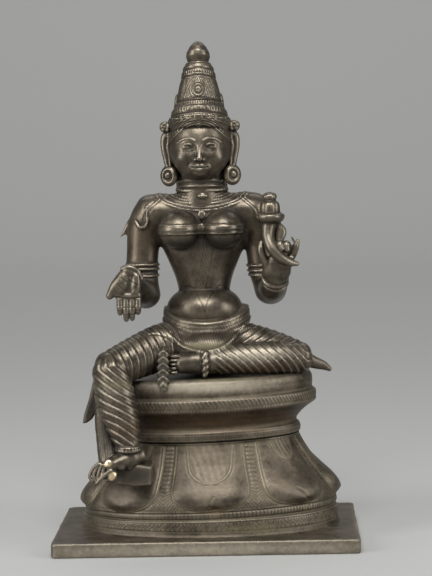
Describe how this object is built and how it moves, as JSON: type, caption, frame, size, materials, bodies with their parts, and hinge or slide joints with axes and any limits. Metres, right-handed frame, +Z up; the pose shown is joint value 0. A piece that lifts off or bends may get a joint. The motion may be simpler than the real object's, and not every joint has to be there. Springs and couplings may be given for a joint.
{
  "type": "seated goddess bronze figure",
  "caption": "Cast bronze goddess seated at ease on an oval double lotus pedestal with a rectangular plinth, one hand open, the other holding a lotus bud.",
  "frame": {"origin": "middle of the plinth's underside", "axes": "+Z up, -Y the side that the figure faces, +X the viewer's right"},
  "size_m": [0.12, 0.08, 0.1987],
  "materials": {
    "figure_bronze": "cast bronze with a dark brown handled patina, lighter on worn ridges, dull dust in the recesses",
    "pedestal_bronze": "cast bronze with a brown patina, grey green bloom on the plinth and dust in the engraved lines"
  },
  "bodies": {
    "root": {"seated_figure": "figure_bronze", "lotus_pedestal": "pedestal_bronze"}
  },
  "joints": []
}
